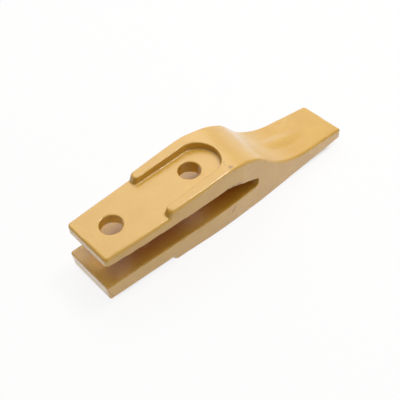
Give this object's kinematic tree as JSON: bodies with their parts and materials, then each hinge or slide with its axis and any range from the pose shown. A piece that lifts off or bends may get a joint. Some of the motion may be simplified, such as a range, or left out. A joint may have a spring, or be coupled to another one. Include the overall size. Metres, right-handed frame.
{
  "type": "bucket tooth",
  "caption": "Bolt-on bucket tooth cast in one piece, with a forked end that straddles the bucket's lip and a flat digging blade.",
  "frame": {"origin": "on the lip seat, which is the top face of the lower leg, midway between the two bolt axes", "axes": "+X along the lip slot to the blade's edge, +Y to the tooth's left, +Z square to the lip seat, along the bolts"},
  "size_m": [0.3089, 0.065, 0.0754],
  "materials": {
    "golden_paint": "satin"
  },
  "bodies": {
    "root": {"bucket_tooth": "golden_paint"}
  },
  "joints": []
}
